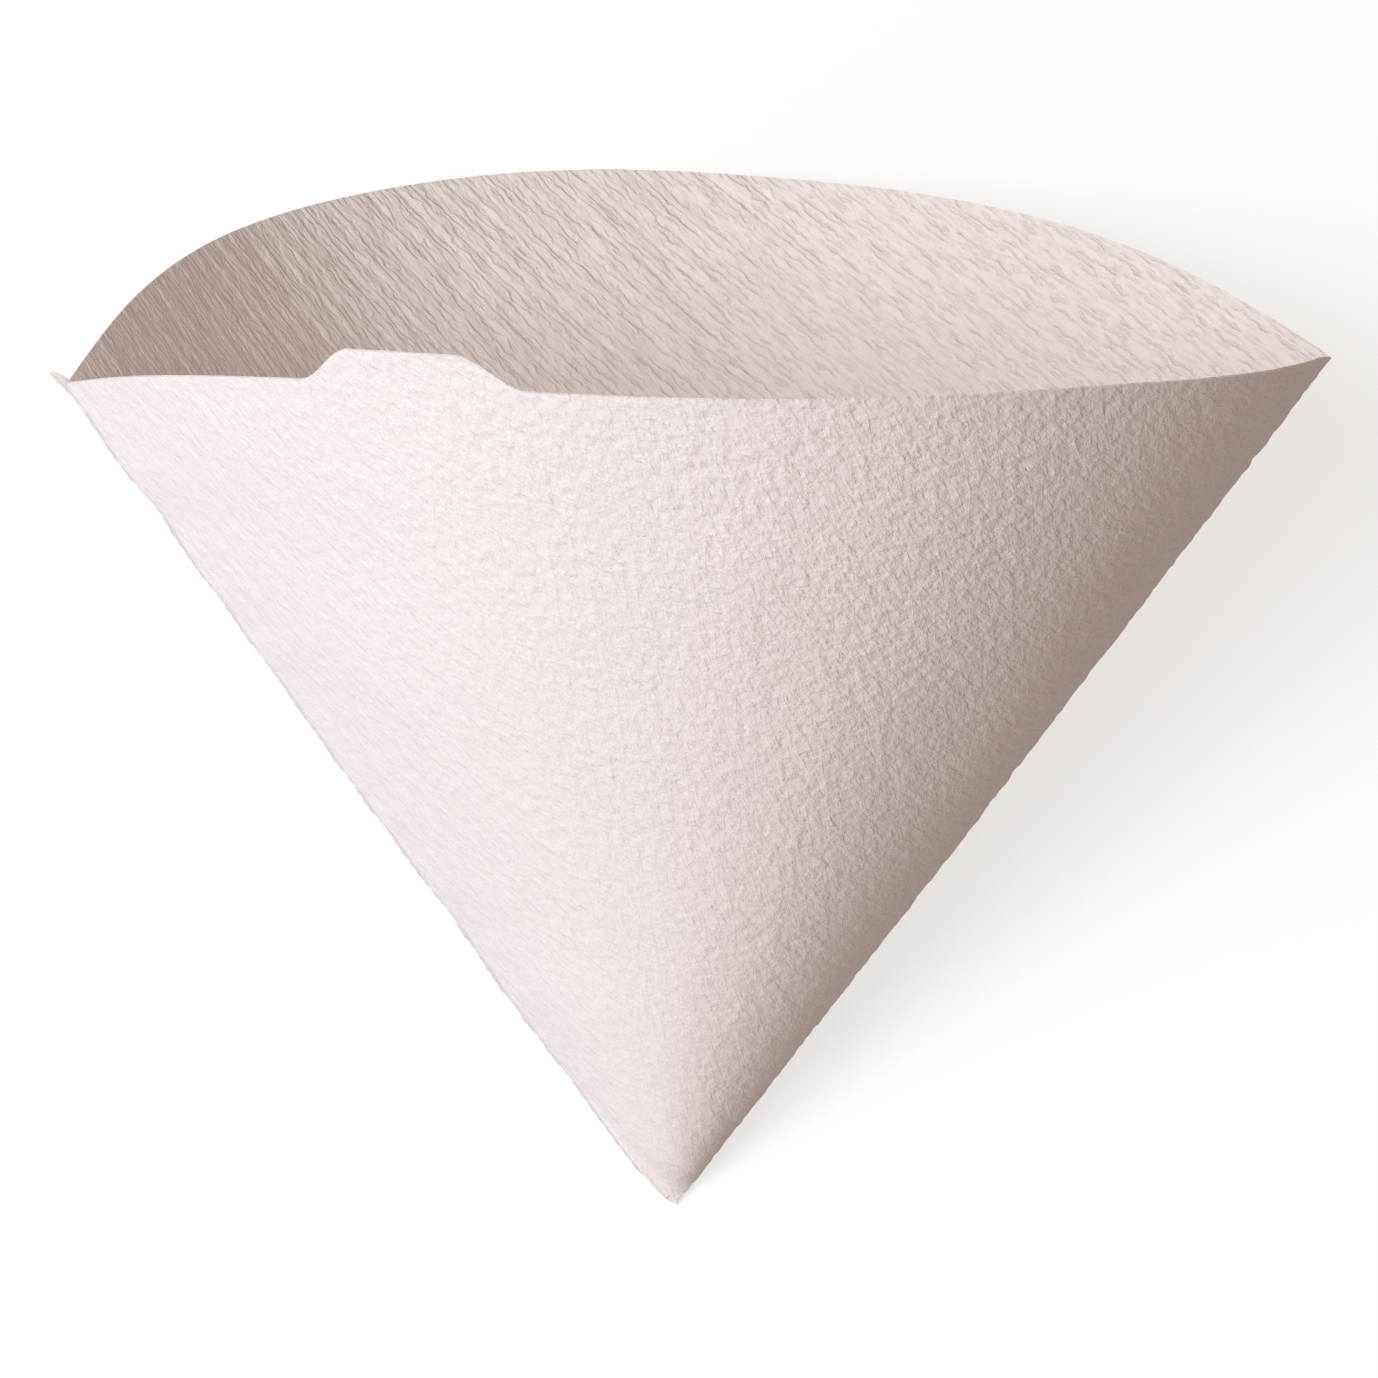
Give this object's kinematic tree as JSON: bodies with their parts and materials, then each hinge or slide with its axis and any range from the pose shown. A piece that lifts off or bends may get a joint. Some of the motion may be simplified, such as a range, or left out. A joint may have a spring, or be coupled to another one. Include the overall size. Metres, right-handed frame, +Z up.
{
  "type": "paper coffee filter",
  "caption": "Cone-shaped crepe paper coffee filter, opened to a lens-shaped mouth, with one folded edge, one crimped edge and a small lifting tab on the rim.",
  "frame": {"origin": "the point where the cone's sides would meet, on the surface the filter lies on", "axes": "+X towards the folded edge, +Y from the point to the mouth along the line it lies on, +Z up, towards the front ply with the tab"},
  "size_m": [0.1486, 0.1242, 0.0984],
  "materials": {
    "crepe_paper": "matt white crepe paper with fine irregular ridges along the seam edge"
  },
  "bodies": {
    "root": {"filter_cone": "crepe_paper"}
  },
  "joints": []
}
